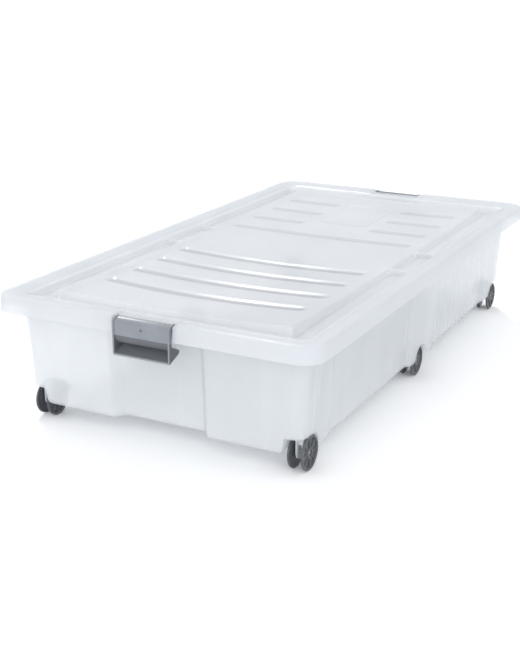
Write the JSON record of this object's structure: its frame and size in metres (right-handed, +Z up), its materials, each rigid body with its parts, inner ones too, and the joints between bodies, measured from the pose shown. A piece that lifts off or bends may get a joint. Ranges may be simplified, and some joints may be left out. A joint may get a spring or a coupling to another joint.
{
  "type": "under bed storage box",
  "caption": "Long low wheeled storage box with a clear tub, a flat stacking lid with recessed grooves, an end clip at each short side and twin-disc wheels.",
  "frame": {"origin": "on the floor under the middle of the box", "axes": "+Z up, +Y along the long side towards the rear, +X to the right seen from the front clip; the front end with the near clip faces -Y"},
  "size_m": [0.516, 0.958, 0.1993],
  "materials": {
    "tub_plastic": "translucent moulded polypropylene, satin with gloss on the edges",
    "lid_plastic": "milky translucent moulded polypropylene, fine satin",
    "clip_plastic": "grey moulded plastic, semi-gloss",
    "wheel_plastic": "dark grey moulded plastic, satin",
    "axle_steel": "plain steel pin"
  },
  "bodies": {
    "tub": {"tub": "tub_plastic"},
    "lid": {"lid": "lid_plastic"},
    "clip_front": {"clip_front": "clip_plastic"},
    "clip_rear": {"clip_rear": "clip_plastic"},
    "wheel_set_front_left": {"wheel_outer_front_left": "wheel_plastic", "wheel_inner_front_left": "wheel_plastic", "axle_front_left": "axle_steel"},
    "wheel_set_front_right": {"wheel_outer_front_right": "wheel_plastic", "wheel_inner_front_right": "wheel_plastic", "axle_front_right": "axle_steel"},
    "wheel_set_middle_left": {"wheel_outer_middle_left": "wheel_plastic", "wheel_inner_middle_left": "wheel_plastic", "axle_middle_left": "axle_steel"},
    "wheel_set_middle_right": {"wheel_outer_middle_right": "wheel_plastic", "wheel_inner_middle_right": "wheel_plastic", "axle_middle_right": "axle_steel"},
    "wheel_set_rear_left": {"wheel_outer_rear_left": "wheel_plastic", "wheel_inner_rear_left": "wheel_plastic", "axle_rear_left": "axle_steel"},
    "wheel_set_rear_right": {"wheel_outer_rear_right": "wheel_plastic", "wheel_inner_rear_right": "wheel_plastic", "axle_rear_right": "axle_steel"}
  },
  "joints": [
    {"name": "lid_lift", "type": "slide", "parent": "tub", "child": "lid", "axis": [0, 0, 1], "range_m": [0, 0.25]},
    {"name": "clip_front_swing", "type": "hinge", "parent": "lid", "child": "clip_front", "pos_m": [0, -0.466, 0.1934], "axis": [-1, 0, 0], "range_deg": [0, 100]},
    {"name": "clip_rear_swing", "type": "hinge", "parent": "lid", "child": "clip_rear", "pos_m": [0, 0.466, 0.1934], "axis": [1, 0, 0], "range_deg": [0, 100]},
    {"name": "wheel_set_front_left_spin", "type": "hinge", "parent": "tub", "child": "wheel_set_front_left", "pos_m": [-0.2098, -0.409, 0.0254], "axis": [1, 0, 0], "continuous": true},
    {"name": "wheel_set_front_right_spin", "type": "hinge", "parent": "tub", "child": "wheel_set_front_right", "pos_m": [0.2098, -0.409, 0.0254], "axis": [1, 0, 0], "continuous": true},
    {"name": "wheel_set_middle_left_spin", "type": "hinge", "parent": "tub", "child": "wheel_set_middle_left", "pos_m": [-0.2098, 0, 0.0254], "axis": [1, 0, 0], "continuous": true},
    {"name": "wheel_set_middle_right_spin", "type": "hinge", "parent": "tub", "child": "wheel_set_middle_right", "pos_m": [0.2098, 0, 0.0254], "axis": [1, 0, 0], "continuous": true},
    {"name": "wheel_set_rear_left_spin", "type": "hinge", "parent": "tub", "child": "wheel_set_rear_left", "pos_m": [-0.2098, 0.409, 0.0254], "axis": [1, 0, 0], "continuous": true},
    {"name": "wheel_set_rear_right_spin", "type": "hinge", "parent": "tub", "child": "wheel_set_rear_right", "pos_m": [0.2098, 0.409, 0.0254], "axis": [1, 0, 0], "continuous": true}
  ]
}
